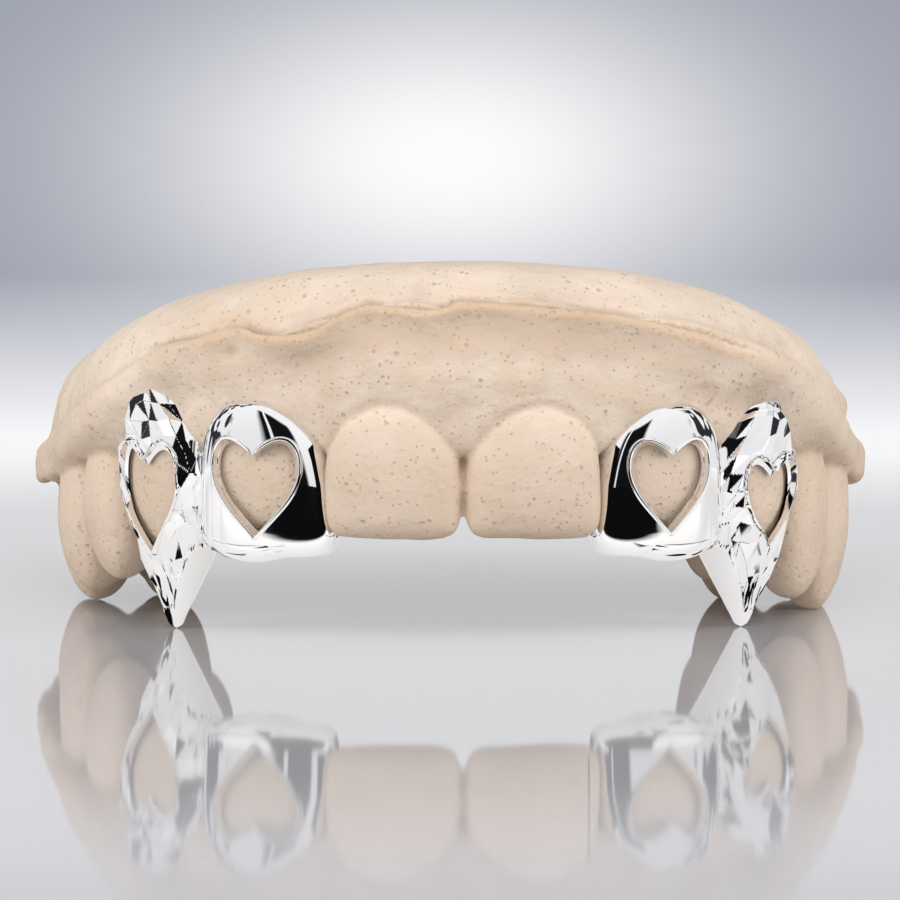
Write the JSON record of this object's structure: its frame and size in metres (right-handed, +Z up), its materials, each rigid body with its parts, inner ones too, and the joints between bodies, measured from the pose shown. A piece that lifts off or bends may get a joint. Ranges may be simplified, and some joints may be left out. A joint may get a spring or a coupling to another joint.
{
  "type": "pair of grillz on a dental cast stand",
  "caption": "Mirror pair of two-tooth silver caps with heart windows and faceted fangs, seated on a stone cast of an upper arch that stands teeth down.",
  "frame": {"origin": "centre of the bounding box in plan, at the plane that the fang tips and molar cusps stand on", "axes": "+X to the viewer's right across the arch, -Y towards the front teeth, +Z up from the tooth tips to the base of the cast"},
  "size_m": [0.0564, 0.0474, 0.0234],
  "materials": {
    "dental_stone": "beige die stone as cast, matte, with pinholes and fine bumps",
    "polished_silver": "mirror-polished silver, with diamond-cut facets on the fang caps"
  },
  "bodies": {
    "root": {"dental_cast": "dental_stone", "grill_left": "polished_silver", "grill_right": "polished_silver"}
  },
  "joints": []
}
